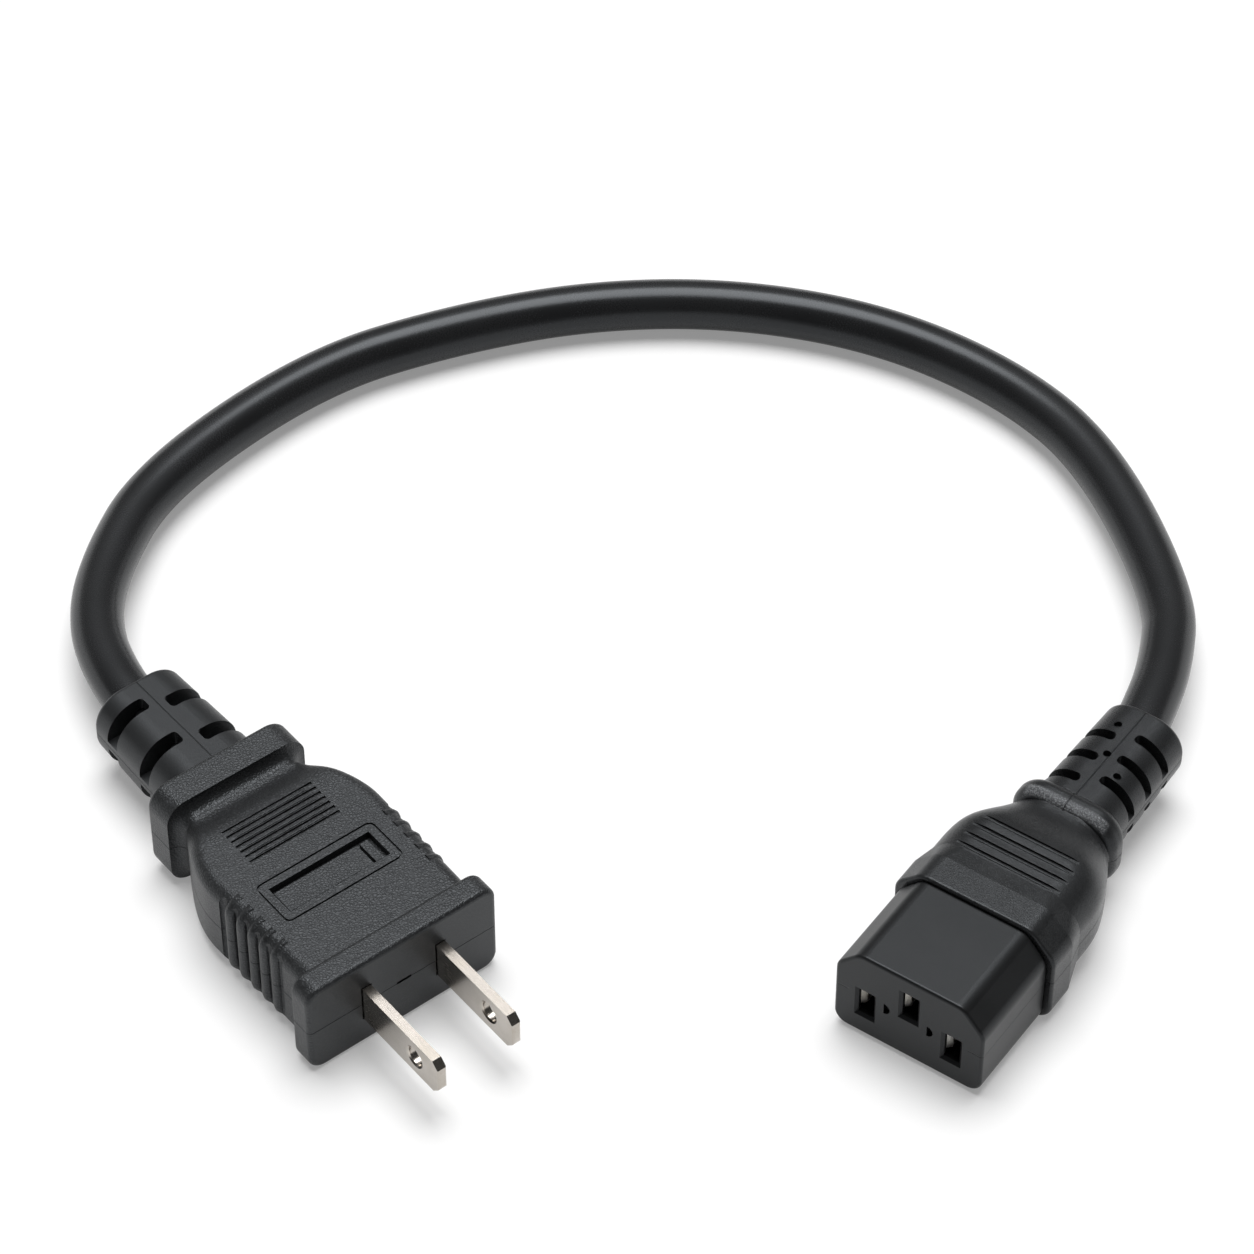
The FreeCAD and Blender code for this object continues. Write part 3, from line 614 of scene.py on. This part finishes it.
def cord_jacket():
    """Sleek black jacket, in two close levels of one tone."""
    material, maker, place = start_finish("cord_jacket")
    broad = noise(maker, place, 14.0, 2.0)
    fine = noise(maker, place, 0.25, 2.0)
    tones = [grey(level, 0.98, 1.0, 1.05) for level in (0.012, 0.015)]
    colour = maker.blend(maker.ramp(broad, 0.3, 0.7), *tones)
    rough = 0.27 + (broad - 0.5) * 0.06 + (fine - 0.5) * 0.05
    return end_finish(
        material, maker, colour, rough, fine, 0.004,
        Specular_IOR_Level=jacket_sheen, Specular_Tint=cool_sheen,
    )


cord_data.materials.append(cord_jacket())
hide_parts("cord")
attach(mains_cord, "root")

# %% [markdown]
# Between the cross lines on the plug stand thin raised ribs, each line on the shell of the
# connector has one beside it, and rounded bars stand between the grooves of the grip. They
# follow the body under them, so a tree of Geometry Nodes lays them: lines at an even pitch
# are thrown onto the body by rays, sunk a little, more so at their ends, and given a round
# section. The result is turned into a plain mesh.


# %% Ribs laid on a body
points_on_rib = 60
points_on_ring = 12
end_sharpness = 12.0
end_sink = 1.3
throw_length = 20.0 * mm


def rib_tree(material):
    """Node tree that lays ribs on a body, with its sizes as named inputs."""
    tree = bpy.data.node_groups.new("laid_ribs", "GeometryNodeTree")
    inputs = (
        ("Body", "NodeSocketObject"), ("Start", "NodeSocketVector"), ("Turn", "NodeSocketVector"),
        ("Throw", "NodeSocketVector"), ("Count", "NodeSocketInt"), ("Pitch", "NodeSocketFloat"),
        ("Length", "NodeSocketFloat"), ("Radius", "NodeSocketFloat"), ("Sink", "NodeSocketFloat"),
    )
    for name, kind in inputs:
        tree.interface.new_socket(name, in_out="INPUT", socket_type=kind)
    tree.interface.new_socket("Ribs", in_out="OUTPUT", socket_type="NodeSocketGeometry")
    entry = tree.nodes.new("NodeGroupInput")
    given = {name: Wire(tree, entry.outputs[name]) for name, kind in inputs}
    maker = Maker(tree)

    half = given["Length"] * 0.5
    ends = [maker.node("ShaderNodeCombineXYZ", Y=side) for side in (half * -1.0, half)]
    line = maker.node("GeometryNodeCurvePrimitiveLine", Start=ends[0], End=ends[1])
    line = maker.node("GeometryNodeResampleCurve", Curve=line, Count=points_on_rib)
    along = maker.node("GeometryNodeSplineParameter", output="Factor") * 2.0 - 1.0
    at_end = abs(along) ** end_sharpness
    line = maker.node(
        "GeometryNodeStoreNamedAttribute", {"data_type": "FLOAT", "domain": "POINT"},
        Geometry=line, Name="at_end", Value=at_end,
    )
    step = maker.node("ShaderNodeCombineXYZ", X=given["Pitch"] * -1.0)
    row = maker.node("GeometryNodeMeshLine", Count=given["Count"], Offset=step)
    lines = maker.node("GeometryNodeInstanceOnPoints", Points=row, Instance=line)
    lines = maker.node("GeometryNodeRealizeInstances", Geometry=lines)
    lines = maker.node(
        "GeometryNodeTransform", Geometry=lines, Translation=given["Start"], Rotation=given["Turn"],
    )

    body = maker.node("GeometryNodeObjectInfo", output="Geometry", Object=given["Body"])
    place = maker.node("GeometryNodeInputPosition")
    landed = maker.node(
        "GeometryNodeRaycast", output="Hit Position", Target_Geometry=body,
        Source_Position=place, Ray_Direction=given["Throw"], Ray_Length=throw_length,
    )
    at_end = maker.node("GeometryNodeInputNamedAttribute", {"data_type": "FLOAT"}, Name="at_end")
    depth = given["Sink"] + at_end * given["Radius"] * end_sink
    sink = maker.node("ShaderNodeVectorMath", {"operation": "SCALE"}, _0=given["Throw"], Scale=depth)
    lines = maker.node("GeometryNodeSetPosition", Geometry=lines, Position=landed, Offset=sink)
    ring = maker.node(
        "GeometryNodeCurvePrimitiveCircle", Resolution=points_on_ring, Radius=given["Radius"],
    )
    ribs = maker.node(
        "GeometryNodeCurveToMesh", Curve=lines, Profile_Curve=ring, Fill_Caps=True,
    )
    ribs = maker.node("GeometryNodeSetShadeSmooth", Geometry=ribs)
    ribs = maker.node("GeometryNodeSetMaterial", Geometry=ribs, Material=material)
    maker.node("NodeGroupOutput", Ribs=ribs)
    return tree


def lay_ribs(name, slot, material, Throw=(0.0, 0.0, -1.0), **sizes):
    """Runs the tree once, with its inputs by their names, and keeps its plain mesh."""
    tree = rib_tree(material)
    carrier = bpy.data.objects.new(name + "_carrier", bpy.data.meshes.new(name + "_carrier"))
    scene.collection.objects.link(carrier)
    modifier = carrier.modifiers.new("ribs", "NODES")
    modifier.node_group = tree
    inputs = [item for item in tree.interface.items_tree if item.in_out == "INPUT"]
    keys = {item.name: item.identifier for item in inputs}
    for size, value in {"Throw": Throw, **sizes}.items():
        modifier[keys[size]] = value
    ready = carrier.evaluated_get(bpy.context.evaluated_depsgraph_get())
    mesh = bpy.data.meshes.new_from_object(ready)
    bpy.data.objects.remove(carrier)
    piece = bpy.data.objects.new(name, mesh)
    scene.collection.objects.link(piece)
    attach(piece, "root")
    print(name, "has", len(mesh.polygons), "faces")


above_body = 10.0
line_pitch = 1.13
line_length = 15.0
first_rib_from_face = 25.815
lay_ribs(
    "plug_cross_ribs", "plug_moulding", plug_rubber,
    Body=nodes["plug_moulding"], Turn=(0, 0, 0), Count=6,
    Pitch=line_pitch * mm, Length=line_length * mm,
    Start=(plug_face + Vector((-first_rib_from_face, 0, above_body))) * mm,
    Radius=0.26 * mm, Sink=0.12 * mm,
)

shell_line_pitch = 2.05
shell_line_length = 16.6
first_shell_rib_from_face = 24.85
nose_turn = math.atan2(nose_axis.y, nose_axis.x)
lay_ribs(
    "shell_cross_ribs", "connector_moulding", connector_rubber,
    Body=nodes["connector_moulding"], Turn=(0, 0, nose_turn), Count=4,
    Pitch=shell_line_pitch * mm, Length=shell_line_length * mm,
    Start=(nose_face - nose_axis * first_shell_rib_from_face + Vector((0, 0, above_body))) * mm,
    Radius=0.22 * mm, Sink=0.10 * mm,
)

bar_pitch = 2.6
first_bar_from_face = 10.6
bar_height = 13.6
beside_body = 20.0
for side, side_name in ((-1, "near"), (1, "far")):
    lay_ribs(
        "grip_bars_" + side_name, "plug_moulding", plug_rubber,
        Body=nodes["plug_moulding"], Throw=(0.0, -side, 0.0), Turn=(math.pi / 2, 0, 0),
        Count=5, Pitch=bar_pitch * mm, Length=bar_height * mm,
        Start=(plug_face + Vector((-first_bar_from_face, side * beside_body, 0))) * mm,
        Radius=0.95 * mm, Sink=0.55 * mm,
    )
